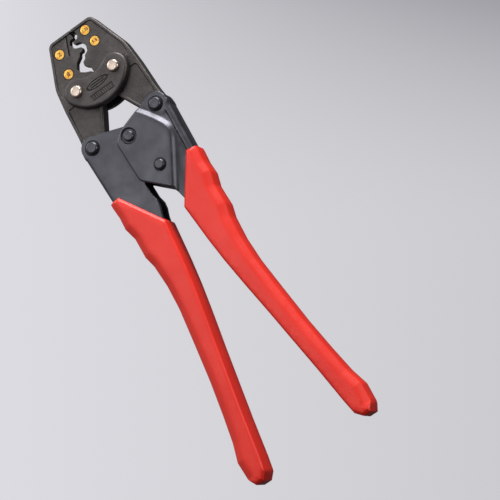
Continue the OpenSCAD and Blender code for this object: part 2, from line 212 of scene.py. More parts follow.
def black_rivet():
    t = Tree("black_rivet")
    grain = t.noise(0.35, 4, 0.6)
    base = t.mix(t.ramp(t.noise(2.0, 3), 0.3, 0.7), rgb(62, 62, 66), rgb(78, 78, 83))
    return t.finish(Base_Color=base, Metallic=0.8, Roughness=t.ramp(grain, 0.3, 0.7, 0.28, 0.4),
                    Normal=t.bump([(grain, 0.3, 0.04)]))


def nickel():
    t = Tree("nickel")
    pits = t.noise(0.8, 4, 0.6)
    base = t.mix(t.ramp(pits, 0.4, 0.75), rgb(202, 186, 172), rgb(172, 156, 142))
    return t.finish(Base_Color=base, Metallic=1.0, Roughness=t.ramp(pits, 0.3, 0.7, 0.24, 0.4),
                    Normal=t.bump([(t.noise(0.5, 3), 0.2, 0.05)]))


def brass():
    t = Tree("brass")
    stain = t.noise(1.3, 4, 0.65)
    base = t.mix(t.ramp(stain, 0.42, 0.72), rgb(232, 180, 84), rgb(190, 128, 48))
    return t.finish(Base_Color=base, Metallic=0.7, Roughness=t.ramp(stain, 0.3, 0.7, 0.28, 0.46),
                    Normal=t.bump([(t.noise(0.3, 4, 0.7), 0.35, 0.05)]))


def stamped():
    t = Tree("stamped")
    base = t.mix(t.ramp(t.noise(0.5, 3), 0.3, 0.7), rgb(66, 34, 10), rgb(96, 54, 16))
    return t.finish(Base_Color=base, Metallic=0.3, Roughness=0.65)


# A dark ring put as painted shade in the gap around each size disc.
def dark_gap():
    t = Tree("dark_gap")
    base = t.mix(t.ramp(t.noise(0.6, 3), 0.3, 0.7), rgb(26, 23, 21), rgb(48, 42, 36))
    return t.finish(Base_Color=base, Metallic=0.3, Roughness=0.7)


def red_grip():
    t = Tree("red_grip")
    cloud, peel = t.noise(22, 3, 0.5), t.noise(0.9, 3, 0.5)
    base = t.mix(t.ramp(cloud, 0.3, 0.7), rgb(210, 36, 22), rgb(218, 44, 30))
    scuff = t.ramp(t.noise(3.5, 5, 0.7, (1, 1, 0.35)), 0.58, 0.8, 0, 0.16)
    base = t.mix(scuff, base, rgb(222, 80, 64))
    rough = t.maths("ADD", t.ramp(t.noise(6, 4), 0.3, 0.7, 0.36, 0.46), t.maths("MULTIPLY", scuff, 0.5))
    return t.finish(Base_Color=base, Metallic=0.0, Roughness=rough, Specular_IOR_Level=0.4,
                    Normal=t.bump([(peel, 0.12, 0.06), (t.noise(9, 2), 0.15, 0.5)]))


def bare_steel():
    t = Tree("bare_steel")
    lines = t.noise(1.0, 5, 0.7, (0.15, 1, 1))
    base = t.mix(t.ramp(lines, 0.3, 0.7), rgb(150, 148, 144), rgb(186, 184, 180))
    return t.finish(Base_Color=base, Metallic=1.0, Roughness=t.ramp(lines, 0.3, 0.7, 0.25, 0.45),
                    Normal=t.bump([(lines, 0.2, 0.03)]))


def spring_steel():
    t = Tree("spring_steel")
    grain = t.noise(0.3, 3)
    base = t.mix(t.ramp(grain, 0.3, 0.7), rgb(120, 118, 116), rgb(168, 166, 162))
    return t.finish(Base_Color=base, Metallic=1.0, Roughness=0.32, Normal=t.bump([(grain, 0.2, 0.02)]))


FINISHES = {maker.__name__: maker() for maker in (
    forged_steel, pressed_steel, black_rivet, nickel, brass, red_grip, bare_steel, spring_steel,
    stamped, dark_gap)}


def smooth_by_angle(degrees):
    """A node group that shades a mesh smooth, except over edges sharper than the angle."""
    group = bpy.data.node_groups.new("smooth_by_angle", "GeometryNodeTree")
    for way in ("INPUT", "OUTPUT"):
        group.interface.new_socket("Geometry", in_out=way, socket_type="NodeSocketGeometry")
    new, link = group.nodes.new, group.links.new
    start, end = new("NodeGroupInput"), new("NodeGroupOutput")
    faces, edges = new("GeometryNodeSetShadeSmooth"), new("GeometryNodeSetShadeSmooth")
    faces.domain, edges.domain = "FACE", "EDGE"
    angle, less = new("GeometryNodeInputMeshEdgeAngle"), new("FunctionNodeCompare")
    less.operation = "LESS_THAN"
    less.inputs[1].default_value = math.radians(degrees)
    link(start.outputs[0], faces.inputs[0])
    link(faces.outputs[0], edges.inputs[0])
    link(angle.outputs[0], less.inputs[0])
    link(less.outputs[0], edges.inputs["Shade Smooth"])
    link(edges.outputs[0], end.inputs[0])
    return group


SMOOTH = smooth_by_angle(32)
BEVEL_ANGLE = 30


def soften(obj, width=0, segments=2):
    """Shades a piece smooth, with its edges rounded by width mm first."""
    obj.modifiers.new("weld", "WELD").merge_threshold = 1e-6
    if width:
        bevel = obj.modifiers.new("bevel", "BEVEL")
        bevel.width, bevel.segments = width * MM, segments
        bevel.limit_method, bevel.angle_limit = "ANGLE", math.radians(BEVEL_ANGLE)
        bevel.use_clamp_overlap = False
        bevel.miter_outer = "MITER_ARC"
    obj.modifiers.new("smooth", "NODES").node_group = SMOOTH


def paint(obj, finish):
    """Gives an object one of the finishes, in place of the material it was packed with."""
    obj.data.materials.clear()
    obj.data.materials.append(FINISHES[finish])


# ------------------------------------------------------------------ outlines

def area(loop):
    """Signed area, positive for a counter-clockwise loop."""
    x, z = loop.T
    return float((x * np.roll(z, -1) - np.roll(x, -1) * z).sum() / 2)


def sides(loop):
    """Starts, ends, directions and outward normals of a counter-clockwise loop's edges."""
    a, b = loop, np.roll(loop, -1, 0)
    along = (b - a) / np.hypot(*(b - a).T)[:, None]
    return a, b, along, np.stack([along[:, 1], -along[:, 0]], 1)


def chain(edges):
    """Closed loops from directed (a, b) edges."""
    follow = dict(edges)
    loops = []
    while follow:
        start, point = follow.popitem()
        loop = [start]
        while point != start and point in follow:
            loop.append(point)
            point = follow.pop(point)
        loops.append(loop)
    return loops


LEVEL_TOLERANCE = 0.03


def face_edges(node, levels):
    """Directed edges, as pairs of (x, z) points, around a node's flat faces at the given y levels."""
    mesh = nodes[node].data
    co = np.array([v.co for v in mesh.vertices]) / MM
    used = Counter()
    for polygon in mesh.polygons:
        ids = list(polygon.vertices)
        if any(max(abs(co[i][1] - y) for i in ids) < LEVEL_TOLERANCE for y in levels):
            points = [(round(float(co[i][0]), 2), round(float(co[i][2]), 2)) for i in ids]
            used.update(e for e in zip(points, points[1:] + points[:1]) if e[0] != e[1])
    return [e for e in used if (e[1], e[0]) not in used]


def face_loop(node, *levels):
    """The largest outline of a node's flat faces at the levels, counter-clockwise, as (x, z) points."""
    loops = [np.array(loop) for loop in chain(face_edges(node, levels))]
    loop = max(loops, key=lambda l: abs(area(l)))
    return loop if area(loop) > 0 else loop[::-1]


def within(points, a, b):
    """Which points the closed loops of edges a-b surround."""
    x, z = points[:, 0][:, None], points[:, 1][:, None]
    crosses = (a[:, 1] > z) != (b[:, 1] > z)
    with np.errstate(divide="ignore", invalid="ignore"):
        at = a[:, 0] + (z - a[:, 1]) * (b[:, 0] - a[:, 0]) / (b[:, 1] - a[:, 1])
    return (crosses & (x < at)).sum(1) % 2 == 1


def inside(points, loop):
    return within(points, loop, np.roll(loop, -1, 0))


def union(*loops):
    """The outline around several overlapping loops."""
    points, edges = [], []
    for loop in loops:
        first = len(points)
        points += [Vector(p) for p in loop]
        edges += [(first + i, first + (i + 1) % len(loop)) for i in range(len(loop))]
    verts, _, faces, *_ = delaunay_2d_cdt(points, edges, [], 0, 1e-3)
    flat = np.array(verts)
    middles = np.array([flat[list(f)].mean(0) for f in faces])
    kept = np.any([inside(middles, loop) for loop in loops], 0)
    used = Counter()
    for face, keep in zip(faces, kept):
        if keep:
            used.update(zip(face, face[1:] + face[:1]))
    found = [flat[loop] for loop in chain([e for e in used if (e[1], e[0]) not in used])]
    loop = max(found, key=lambda l: abs(area(l)))
    return loop if area(loop) > 0 else loop[::-1]


def split(line, step):
    """An open line with its long edges split to at most step."""
    out = []
    for a, b in zip(line[:-1], line[1:]):
        count = max(1, math.ceil(np.hypot(*(b - a)) / step))
        out += [a + (b - a) * i / count for i in range(count)]
    return np.array(out + [line[-1]])


def resample(loop, step, least=0.12):
    """The loop with long edges split to at most step, and points closer than least dropped."""
    kept = [loop[0]]
    for point in loop[1:]:
        if np.hypot(*(point - kept[-1])) > least:
            kept.append(point)
    return split(np.array(kept + kept[:1]), step)[:-1]


def distance(points, a, b):
    """Each point's distance to the nearest of the segments a-b, and that segment's index."""
    d = b - a
    t = np.clip(((points[:, None] - a) * d).sum(2) / (d ** 2).sum(1), 0, 1)
    gaps = np.sqrt(((a + t[..., None] * d - points[:, None]) ** 2).sum(2))
    return gaps.min(1), gaps.argmin(1)


def smooth(t):
    """A soft step from 0 to 1."""
    t = np.clip(t, 0, 1)
    return t * t * (3 - 2 * t)


def round_edge(t):
    """An edge profile: the drop, 0 to 1, of a quarter circle as t goes from the face to the outline."""
    return 1 - np.sqrt(np.clip(1 - t * t, 0, 1))


def soft_chamfer(t, blend=0.22, nose=0.16):
    """A chamfer with a soft inner corner and a rounded nose where it meets the side."""
    flat = (np.sqrt(t * t + blend * blend) - blend) / (math.sqrt(1 + blend * blend) - blend)
    return (1 - nose) * flat + nose * round_edge(t ** 4)


# ------------------------------------------------------------------ solids

def mesh_piece(name, verts, faces, finish, body, stands_for=()):
    """A mesh piece from points in mm. It rides on a CAD body, and may stand for CAD nodes."""
    mesh = bpy.data.meshes.new(name)
    mesh.from_pydata([Vector(v) * MM for v in verts], [], faces)
    bm = bmesh.new()
    bm.from_mesh(mesh)
    bmesh.ops.remove_doubles(bm, verts=bm.verts, dist=1e-7)
    bmesh.ops.recalc_face_normals(bm, faces=bm.faces)
    bm.to_mesh(mesh)
    bm.free()
    obj = bpy.data.objects.new(name, mesh)
    bpy.context.scene.collection.objects.link(obj)
    paint(obj, finish)
    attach(obj, body)
    if stands_for:
        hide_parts(*stands_for)
    return obj


RINGS = (0.04, 0.14, 0.3, 0.52, 0.76, 1.0)    # places of a relief's rings of points over its edge width
EDGE_BLEND = 5                                # power at which the drops of neighbouring edges are summed


def relief_points(loop, widths, cell, extra):
    """Sample points for a relief: its outline, rings just inside it, extra points and a grid. The gaps
    keep each new set clear of the points before it."""
    a, b, _, outward = sides(loop)
    corner = -outward - np.roll(outward, 1, 0)
    corner /= np.hypot(*corner.T)[:, None]
    width = np.maximum(widths, np.roll(widths, 1))
    taken = [tuple(p) for p in loop]

    def add(candidates, gap):
        """Takes the candidates inside the loop that are more than gap from every point taken."""
        candidates = candidates[inside(candidates, loop)]
        if not len(candidates):
            return
        tree = kdtree.KDTree(len(taken))
        for i, (x, z) in enumerate(taken):
            tree.insert((x, 0, z), i)
        tree.balance()
        fresh = []
        for x, z in candidates:
            if tree.find((x, 0, z))[2] > gap and all(
                    (x - u) ** 2 + (z - w) ** 2 > gap * gap for u, w in fresh[-60:]):
                fresh.append((x, z))
        taken.extend(fresh)

    for part in RINGS:
        ring = loop + corner * (width * part)[:, None]
        gaps, _ = distance(ring, a, b)
        add(ring[gaps > 0.8 * width * part], 0.03)
    if len(extra):
        add(np.array(extra), 0.12)
    low, high = loop.min(0), loop.max(0)
    xs, zs = np.arange(low[0], high[0], cell), np.arange(low[1], high[1], cell * 0.87)
    grid = np.array([(x + (i % 2) * cell / 2, z) for i, z in enumerate(zs) for x in xs])
    gaps, nearest = distance(grid, a, b)
    add(grid[gaps > np.maximum(0.35 * cell, 1.02 * width[nearest])], 0.4 * cell)
    return taken


def belongs(face, inner, rim):
    """Whether a triangle is in the outline. One on the outline's own edges is judged by their direction,
    so that flat triangles along straight stretches are never kept outside it. The others are judged by
    inner, which says whether their middle is in the outline."""
    around = list(zip(face, face[1:] + face[:1]))
    if any(edge in rim for edge in around):
        return True
    return bool(inner) and not any((b, a) in rim for a, b in around)


def relief(name, loop, top, bottom, edge, finish, body, stands_for=(), side=FRONT, step=1.0,
           cell=3.0, extra=(), back=None):
    """A solid over an outline. Its outer face is top(x, z), less the drop of its edges. Its other
    face is bottom(x, z), or back(x, z) less the same drop, or else the outer face's mirror image.
    edge(mid, normal) gives each stretch of outline its (width, drop, profile)."""
    loop = resample(loop, step)
    a, b, _, outward = sides(loop)
    kinds = [edge(mid, normal) for mid, normal in zip((a + b) / 2, outward)]
    widths = np.array([k[0] for k in kinds])
    points = relief_points(loop, widths, cell, extra)
    corners = len(loop)
    rim = [(i, (i + 1) % corners) for i in range(corners)]
    verts, _, faces, *_ = delaunay_2d_cdt([Vector(p) for p in points], rim, [], 0, 1e-4)
    flat = np.array(verts)
    middles = np.array([flat[list(f)].mean(0) for f in faces])
    rim = set(rim)
    faces = [f for f, inner in zip(faces, inside(middles, loop)) if belongs(f, inner, rim)]
    drop = np.zeros(len(flat))
    for kind in dict.fromkeys(kinds):
        mine = [i for i, k in enumerate(kinds) if k == kind]
        gap, _ = distance(flat, a[mine], b[mine])
        width, depth, profile = kind
        drop += (depth * profile(np.clip(1 - gap / width, 0, 1))) ** EDGE_BLEND
    drop = drop ** (1 / EDGE_BLEND)
    outer = top(flat[:, 0], flat[:, 1]) - drop
    if bottom is None:
        inner = drop - (back or top)(flat[:, 0], flat[:, 1])
    else:
        inner = bottom(flat[:, 0], flat[:, 1])
    shell = [(x, side * h, z) for (x, z), h in zip(flat, outer)]
    shell += [(x, side * h, z) for (x, z), h in zip(flat, inner)]
    count = len(flat)
    used = Counter()
    for f in faces:
        used.update(zip(f, f[1:] + f[:1]))
    walls = [(i, j, j + count, i + count) for i, j in used if (j, i) not in used]
    solid = [tuple(f) for f in faces] + [tuple(i + count for i in reversed(f)) for f in faces] + walls
    return mesh_piece(name, shell, solid, finish, body, stands_for)


def prism(name, loop, y0, y1, finish, body):
    """A straight solid between y0 and y1."""
    count = len(loop)
    verts = [(x, y, z) for y in (y0, y1) for x, z in loop]
    faces = [tuple(range(count)), tuple(range(2 * count - 1, count - 1, -1))]
    faces += [(i, (i + 1) % count, (i + 1) % count + count, i + count) for i in range(count)]
    return mesh_piece(name, verts, faces, finish, body)


TURN_STEPS = 48
RING_STEPS = 44


def on_circle(centre, radius, part):
    """The (x, z) point on a circle at a part of the full turn."""
    angle = 2 * math.pi * part
    return centre[0] + radius * math.cos(angle), centre[1] + radius * math.sin(angle)


def lathe(name, profile, centre, finish, body, stands_for=(), ring=True):
    """A ring turned about a Y axis through centre, from (radius, y) points. When it is not a ring,
    the profile starts and ends on the axis."""
    count = len(profile)
    verts = []
    for i in range(TURN_STEPS):
        for radius, y in profile:
            x, z = on_circle(centre, radius, i / TURN_STEPS)
            verts.append((x, y, z))
    faces = [(i * count + j, i * count + (j + 1) % count,
              (i + 1) % TURN_STEPS * count + (j + 1) % count, (i + 1) % TURN_STEPS * count + j)
             for i in range(TURN_STEPS) for j in range(count if ring else count - 1)]
    return mesh_piece(name, verts, faces, finish, body, stands_for)


def ring_points(centre, radii):
    """Points on circles, for a relief's extra points."""
    return [on_circle(centre, radius, i / RING_STEPS) for radius in radii for i in range(RING_STEPS)]


def seat(x, z, centre, radius, depth, soft=0.5):
    """A shallow round seat sunk into a face."""
    r = np.hypot(x - centre[0], z - centre[1])
    return -depth * (1 - smooth((r - radius) / soft + 0.5))


def mark_painted_shade(obj, amount, behind):
    """Stores amount(x, z) on the points of a piece in front of y = -behind, for its material to darken as
    painted shade.
    """
    points = np.array([v.co for v in obj.data.vertices]) / MM
    values = amount(points[:, 0], points[:, 2]) * (points[:, 1] < -behind)
    obj.data.attributes.new("sunk", "FLOAT", "POINT").data.foreach_set("value", values)


# ------------------------------------------------------------------ jaws

JAW_FACE = face_of("left_jaw")
PANEL_FACE = face_of("left_size_discs")
SEAT_FLOOR = -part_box("left_size_discs")[1].y / MM
DIE_LINE_DEPTH = 0.3
DIE_LINE_FLOOR = PANEL_FACE - DIE_LINE_DEPTH
DIE_BACK = 0.5
STEP_HALF, LINE_HALF = 0.22, 0.14             # half widths of the step into a panel and into the die line
SEAT_DEPTH = 0.35
DISC_SEAT_R = 2.85
DISC_RINGS = (2.2, 2.55, 2.8, 3.05, 3.4)
TIP_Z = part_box("left_jaw")[1].z / MM
DIE_X, DIE_LOW, DIE_HIGH = 7.5, PIN_Z + 5, TIP_Z - 0.3    # the outline's die edges lie within these
JAW_EDGE, DIE_EDGE = (1.1, 0.85, round_edge), (0.18, 0.16, round_edge)
NUDGES = [np.array((u, v)) * 0.03 for u in (-1, 1) for v in (-1, 1)]


def disc_centres(node):
    """Centres of a node's two discs, the higher one first."""
    points = np.array([v.co for v in nodes[node].data.vertices]) / MM
    middle = (points[:, 2].min() + points[:, 2].max()) / 2
    halves = [points[points[:, 2] > middle], points[points[:, 2] < middle]]
    return [((h[:, 0].min() + h[:, 0].max()) / 2, (h[:, 2].min() + h[:, 2].max()) / 2) for h in halves]


def sunk_area(node, levels, outline, half):
    """A function of (x, z) that rises from 0 to 1 over the step into a node's faces at the levels,
    and points along that step."""
    edges = face_edges(node, levels)
    on_outline = {frozenset(e) for e in zip(map(tuple, outline), map(tuple, np.roll(outline, -1, 0)))}
    a, b = np.array(edges).transpose(1, 0, 2)
    steps = np.array([e for e in edges if frozenset(e) not in on_outline])

    def amount(x, z):
        points = np.stack([x, z], 1)
        gap, _ = distance(points, steps[:, 0], steps[:, 1])
        sunk = np.any([within(points + nudge, a, b) for nudge in NUDGES], 0)
        return smooth((np.where(sunk, gap, -gap) / half + 1) / 2)

    beside = []
    for start, end in steps:
        along = (end - start) / np.hypot(*(end - start))
        for part in (-1, -0.5, 0, 0.5, 1):
            offset = np.array([-along[1], along[0]]) * part * half * 1.05
            beside += [tuple(p) for p in split(np.array([start, end]), 0.7) + offset]
    return amount, beside


def jaw(side_x):
    """A forged jaw: a rim, a sunk panel on both faces, the die edge, and a pocket behind the dies."""
    node = "left_jaw" if side_x == LEFT else "right_jaw"
    outline = face_loop(node, -JAW_FACE, -PANEL_FACE, -SEAT_FLOOR, -DIE_LINE_FLOOR)
    panel, extra = sunk_area(node, (-PANEL_FACE, -SEAT_FLOOR, -DIE_LINE_FLOOR), outline, STEP_HALF)
    back_panel, more = sunk_area(node, (PANEL_FACE, DIE_BACK), outline, STEP_HALF)
    pocket, rest = sunk_area(node, (DIE_BACK,), outline, STEP_HALF)
    extra = extra + more + rest
    discs = disc_centres(node.replace("jaw", "size_discs"))
    for centre in discs:
        extra += ring_points(centre, DISC_RINGS)
    line = None
    if side_x == LEFT:
        line, beside = sunk_area(node, (-DIE_LINE_FLOOR,), outline, LINE_HALF)
        extra += beside

    def top(x, z):
        height = JAW_FACE - (JAW_FACE - PANEL_FACE) * panel(x, z)
        for centre in discs:
            height = height + seat(x, z, centre, DISC_SEAT_R, SEAT_DEPTH)
        return height - (DIE_LINE_DEPTH * line(x, z) if line else 0)

    def back(x, z):
        height = JAW_FACE - (JAW_FACE - PANEL_FACE) * back_panel(x, z)
        return height - (PANEL_FACE - DIE_BACK) * pocket(x, z)

    def painted_shade(x, z):
        """Painted shade on the panel's step and in the die line."""
        amount = panel(x, z)
        dark = 3.6 * amount * (1 - amount)
        return np.maximum(dark, line(x, z)) if line else dark

    def edge(mid, normal):
        return DIE_EDGE if abs(mid[0]) < DIE_X and DIE_LOW < mid[1] < DIE_HIGH else JAW_EDGE

    obj = relief(node + "_forging", outline, top, None, edge, "forged_steel", node, (node,),
                 step=0.8, cell=2.2, extra=extra, back=back)
    soften(obj)
    # Painted shade on the panel's step and in the die line.
    mark_painted_shade(obj, painted_shade, DIE_BACK)


jaw(LEFT)
jaw(RIGHT)


# ------------------------------------------------------------------ link plates

LINK_FACE = 8.15
LINK_INNER = 4.05
LINK_EDGE = (1.7, 1.5, round_edge)
OVAL = (0.0, PIN_Z - 2.6, 6.6, 2.1)      # plain oval mark: centre x, z and half axes
BAR = (0.0, PIN_Z - 8.4, 7.0, 1.5)       # plain bar mark below it
MARK_DEPTH, MARK_HALF = 0.2, 0.42
HATCH_PITCH = 1.4
NO_LINE = 9                              # a distance that is far from any line
MARK_GRID = 0.24


def mark_lines(x, z):
    """1 on the sunk lines of the two plain marks on a link plate, 0 elsewhere."""
    u, w = (x - OVAL[0]) / OVAL[2], (z - OVAL[1]) / OVAL[3]
    ring = np.abs(np.sqrt(u * u + w * w) - 1) * OVAL[3]
    lines = np.where(np.abs(u) < 0.72, np.abs(np.abs(z - OVAL[1]) - 0.62), NO_LINE)
    du, dw = np.abs(x - BAR[0]) - BAR[2], np.abs(z - BAR[1]) - BAR[3]
    frame_line = np.abs(np.maximum(du, dw))
    strokes = np.abs((x - BAR[0]) % HATCH_PITCH - HATCH_PITCH / 2)
    hatch = np.where((du < 0) & (dw < -0.35), strokes, NO_LINE)
    nearest = np.minimum.reduce([ring, lines, frame_line, hatch])
    return 1 - smooth(nearest / MARK_HALF)


def link_plate(name, node, side):
    """A link plate. The front one has two plain marks."""
    marks = side == FRONT
    extra = []
    if marks:
        extra = [(x, z) for z in np.arange(BAR[1] - 2.2, OVAL[1] + 3.0, MARK_GRID)
                 for x in np.arange(-7.8, 7.8, MARK_GRID)]

    def top(x, z):
        return LINK_FACE - (MARK_DEPTH * mark_lines(x, z) if marks else 0)

    obj = relief(name, face_loop(node, side * LINK_FACE), top, lambda x, z: LINK_INNER + 0 * x,
                 lambda mid, normal: LINK_EDGE, "forged_steel", "head", (node,), side,
                 step=0.8, cell=2.0, extra=extra)
    soften(obj)
    if marks:
        # Painted shade in the marks' sunk lines.
        mark_painted_shade(obj, mark_lines, LINK_INNER + 1)


link_plate("link_plate_front", "front_link_plate", FRONT)
link_plate("link_plate_back", "rear_link_plate", BACK)


# ------------------------------------------------------------------ handles

EDGE_STEP = 2.0
PLATE_FACE = 6.2
PLATE_INNER = 4.1
SHEET = PLATE_FACE - PLATE_INNER
COVER_FACE = 8.4
FOLD_TOP, FOLD_X = PIN_Z - 34.8, 14           # a handle's outer edge is folded below and beyond these
FOLD_R = 2.0
FOLD_W = {LEFT: 2.0, RIGHT: 3.4}
FACES_OUT = 0.35                              # least outward part of a folded edge's normal
EDGE_R = 0.5
COVER_EDGE = (1.1, 0.9, round_edge)
COVER_X, COVER_LOW = 9, PIN_Z - 76            # the cover's own edge lies left of and above these
# The shoulder's middle line: x, and z from the shoulder's top.
SHOULDER = [(10.9, 7.8), (16.4, 0.7), (21.5, -8.0), (22.1, -13.5), (17.7, -21.9), (7.3, -40.9)]
SHOULDER_HALF, SHOULDER_BEND = 1.6, 0.5
SHOULDER_TOP_Z = PIN_Z - 35.6
SHOULDER_STEP = 0.6                           # how far below the cover the CAD's own shoulder lies
FLANGE_W, FLANGE_TOP = 4.0, PIN_Z - 36.2      # width of the right handle's outer strip, and its top
CREASE_HALF, CREASE_DEPTH = 0.45, 0.3
DIP_SLOPE, DIP_REACH = 0.14, 5                # how the plate falls from the shoulder to the crease
DIMPLE_R, DIMPLE_DEPTH, DIMPLE_SOFT = 4.3, 1.0, 0.9
DIMPLE_RINGS = (2.8, 3.5, 3.8, 4.1, 4.4, 4.7, 5.1)
TAIL_SEAT_R, TAIL_RINGS = 4.2, (3.4, 3.8, 4.1, 4.4, 4.8)
PAWL_SEAT_R, PAWL_RINGS = 3.5, (2.8, 3.1, 3.4, 3.7, 4.1)


def handle_edge(side_x, cover=False):
    """The edge function of a handle's relief. On the cover's handle, the cover's own edge is wider."""
    def edge(mid, normal):
        if normal[0] * side_x > FACES_OUT and mid[1] < FOLD_TOP and abs(mid[0]) > FOLD_X:
            return (FOLD_W[side_x], FOLD_R, round_edge)
        if cover and mid[0] < COVER_X and mid[1] > COVER_LOW:
            return COVER_EDGE
        return (EDGE_R, EDGE_R, round_edge)
    return edge


def shoulder_line():
    """The shoulder's middle line with its corners rounded, drawn out past both ends."""
    line = np.array([(x, z + SHOULDER_TOP_Z) for x, z in SHOULDER])
    first, last = line[0] - line[1], line[-1] - line[-2]
    line = np.vstack([line[0] + first * 2, line, line[-1] + last * 2])
    for _ in range(2):
        a, b = line[:-1], line[1:]
        cut = np.stack([a * 0.75 + b * 0.25, a * 0.25 + b * 0.75], 1).reshape(-1, 2)
        line = np.vstack([line[:1], cut, line[-1:]])
    return line


def shoulder_rise(x, z):
    """0 on the lower plate, 1 on the cover, with a straight ramp and rounded ends between them."""
    t = over_shoulder(x, z) / SHOULDER_HALF
    foot = np.sqrt((t + 0.75) ** 2 + SHOULDER_BEND ** 2)
    brow = np.sqrt((t - 0.75) ** 2 + SHOULDER_BEND ** 2)
    return (foot - brow) / 3 + 0.5


def over_shoulder(x, z):
    """Signed distance from the shoulder's middle line, positive on the raised cover."""
    line = shoulder_line()
    points = np.stack([x, z], 1)
    gap, nearest = distance(points, line[:-1], line[1:])
    a, d = line[:-1][nearest], (line[1:] - line[:-1])[nearest]
    cross = d[:, 0] * (points[:, 1] - a[:, 1]) - d[:, 1] * (points[:, 0] - a[:, 0])
    return -np.sign(cross) * gap


def flange(loop):
    """The strip along the right handle's folded edge, over its outline. Gives a function of (x, z) that
    is 1 in the crease beside the strip, the plate's dip towards the crease, and points along it."""
    a, b, along, outward = sides(resample(loop, EDGE_STEP))
    outer = [i for i in range(len(a)) if along[i][1] > FACES_OUT and a[i][1] < FLANGE_TOP + 2
             and a[i][0] > FOLD_X]
    a, b, outward = a[outer], b[outer], outward[outer]

    def amount(x, z):
        gap, _ = distance(np.stack([x, z], 1), a, b)
        return (1 - smooth(np.abs(gap - FLANGE_W) / CREASE_HALF)) * smooth((FLANGE_TOP - z) / 1.2)

    def dip(x, z):
        gap, _ = distance(np.stack([x, z], 1), a, b)
        fall = DIP_SLOPE * np.clip(-over_shoulder(x, z) - SHOULDER_HALF * 0.8, 0, DIP_REACH)
        fade = smooth((FLANGE_TOP - z) / 3) * smooth((x - FOLD_X + 2) / 3)
        return fall * fade * smooth((gap - FLANGE_W) / 0.8 + 0.5)

    beside = [tuple(p) for points in ((a + b) / 2, a) for part in (-0.5, -0.25, 0, 0.25, 0.5)
              for p in points - outward * (FLANGE_W + part)]
    return amount, dip, beside


def web(name, loop, side_x, body):
    """The folded outer wall of a handle, between its two plates."""
    a, b, _, outward = sides(resample(loop, EDGE_STEP))
    edge = handle_edge(side_x)
    mine = [i for i in range(len(a)) if edge((a[i] + b[i]) / 2, outward[i])[1] == FOLD_R]
    points = sorted({tuple(p) for i in mine for p in (a[i], b[i])}, key=lambda p: -p[1])
    outer = np.array(points) - [0.03 * side_x, 0]
    strip = np.vstack([outer, outer[::-1] - [SHEET * side_x, 0]])
    half = PLATE_FACE - FOLD_R + 0.05
    soften(prism(name, strip, -half, half, "pressed_steel", body), 0.25)


def left_handle():
    """A front and a back plate, joined by a folded wall."""
    loop = face_loop("left_handle", -PLATE_FACE)
    tail = (-TAIL.x, TAIL.z)

    def top(x, z):
        return PLATE_FACE + seat(x, z, tail, TAIL_SEAT_R, SEAT_DEPTH)

    for side, where in ((FRONT, "front"), (BACK, "back")):
        stands_for = ("left_handle",) if side == FRONT else ()
        obj = relief("left_handle_" + where, loop, top, lambda x, z: PLATE_INNER + 0 * x, handle_edge(LEFT),
                     "pressed_steel", "left_handle", stands_for, side, step=0.9,
                     extra=ring_points(tail, TAIL_RINGS))
        soften(obj)
    web("left_handle_web", loop, LEFT, "left_handle")


def right_handle():
    """As the left one, with a raised cover on each plate."""
    loop = union(face_loop("right_handle", -PLATE_FACE), face_loop("right_handle", -COVER_FACE),
                 face_loop("right_handle", SHOULDER_STEP - COVER_FACE))
    tail, centre, pawl = (TAIL.x, TAIL.z), (0, CENTRE_Z), (PAWL.x, PAWL.z)
    extra = ring_points(tail, TAIL_RINGS) + ring_points(pawl, PAWL_RINGS) + ring_points(centre, DIMPLE_RINGS)
    line = split(shoulder_line(), 0.9)
    step = np.gradient(line, axis=0)
    across = np.stack([-step[:, 1], step[:, 0]], 1) / np.hypot(*step.T)[:, None]
    for part in np.linspace(-1, 1, 9):
        extra += [tuple(p) for p in line + across * part * SHOULDER_HALF * 1.05]
    crease, dip, beside = flange(loop)
    extra += beside

    def top(x, z):
        height = PLATE_FACE + (COVER_FACE - PLATE_FACE) * shoulder_rise(x, z)
        height = height + seat(x, z, centre, DIMPLE_R, DIMPLE_DEPTH, DIMPLE_SOFT)
        height = height - CREASE_DEPTH * crease(x, z) - dip(x, z)
        return height + seat(x, z, tail, TAIL_SEAT_R, SEAT_DEPTH) + seat(x, z, pawl, PAWL_SEAT_R, SEAT_DEPTH)

    def bottom(x, z):
        return PLATE_INNER + (COVER_FACE - PLATE_FACE) * shoulder_rise(x, z)

    for side, where in ((FRONT, "front"), (BACK, "back")):
        stands_for = ("right_handle",) if side == FRONT else ()
        obj = relief("right_handle_" + where, loop, top, bottom, handle_edge(RIGHT, True), "pressed_steel",
                     "right_handle", stands_for, side, step=0.9, extra=extra)
        soften(obj)
        if side == FRONT:
            # Painted shade in the crease beside the outer strip.
            mark_painted_shade(obj, crease, PLATE_INNER + 0.5)
    web("right_handle_web", face_loop("right_handle", -PLATE_FACE), RIGHT, "right_handle")


left_handle()
right_handle()


# ------------------------------------------------------------------ grips

GRIP_HALF = 8.2
GRIP_LEDGE = 7.0
MOUTH_LOW = PIN_Z - 92        # the mouth's edges lie above this
END_HIGH = 16                 # the end's edges lie below this
MOUTH_EDGE, END_EDGE = (1.7, 1.5, soft_chamfer), (1.8, 1.5, soft_chamfer)
OUTER_EDGE, INNER_EDGE = (4.6, 2.8, soft_chamfer), (1.2, 1.1, soft_chamfer)


def grip_edge(side_x):
    """The edge function of a grip's relief."""
    def edge(mid, normal):
        if normal[1] > 0.3 and mid[1] > MOUTH_LOW:
            return MOUTH_EDGE
        if normal[1] < -0.25 and mid[1] < END_HIGH:
            return END_EDGE
        return OUTER_EDGE if normal[0] * side_x > 0 else INNER_EDGE
    return edge


def grip(name, node, side_x, body):
    loop = face_loop(node, -GRIP_LEDGE)
    obj = relief(name, loop, lambda x, z: GRIP_HALF + 0 * x, None, grip_edge(side_x), "red_grip", body,
                 (node,), step=1.1, cell=2.4)
    soften(obj)


grip("grip_left", "left_grip", LEFT, "left_handle")
grip("grip_right", "right_grip", RIGHT, "right_handle")


# ------------------------------------------------------------------ pins

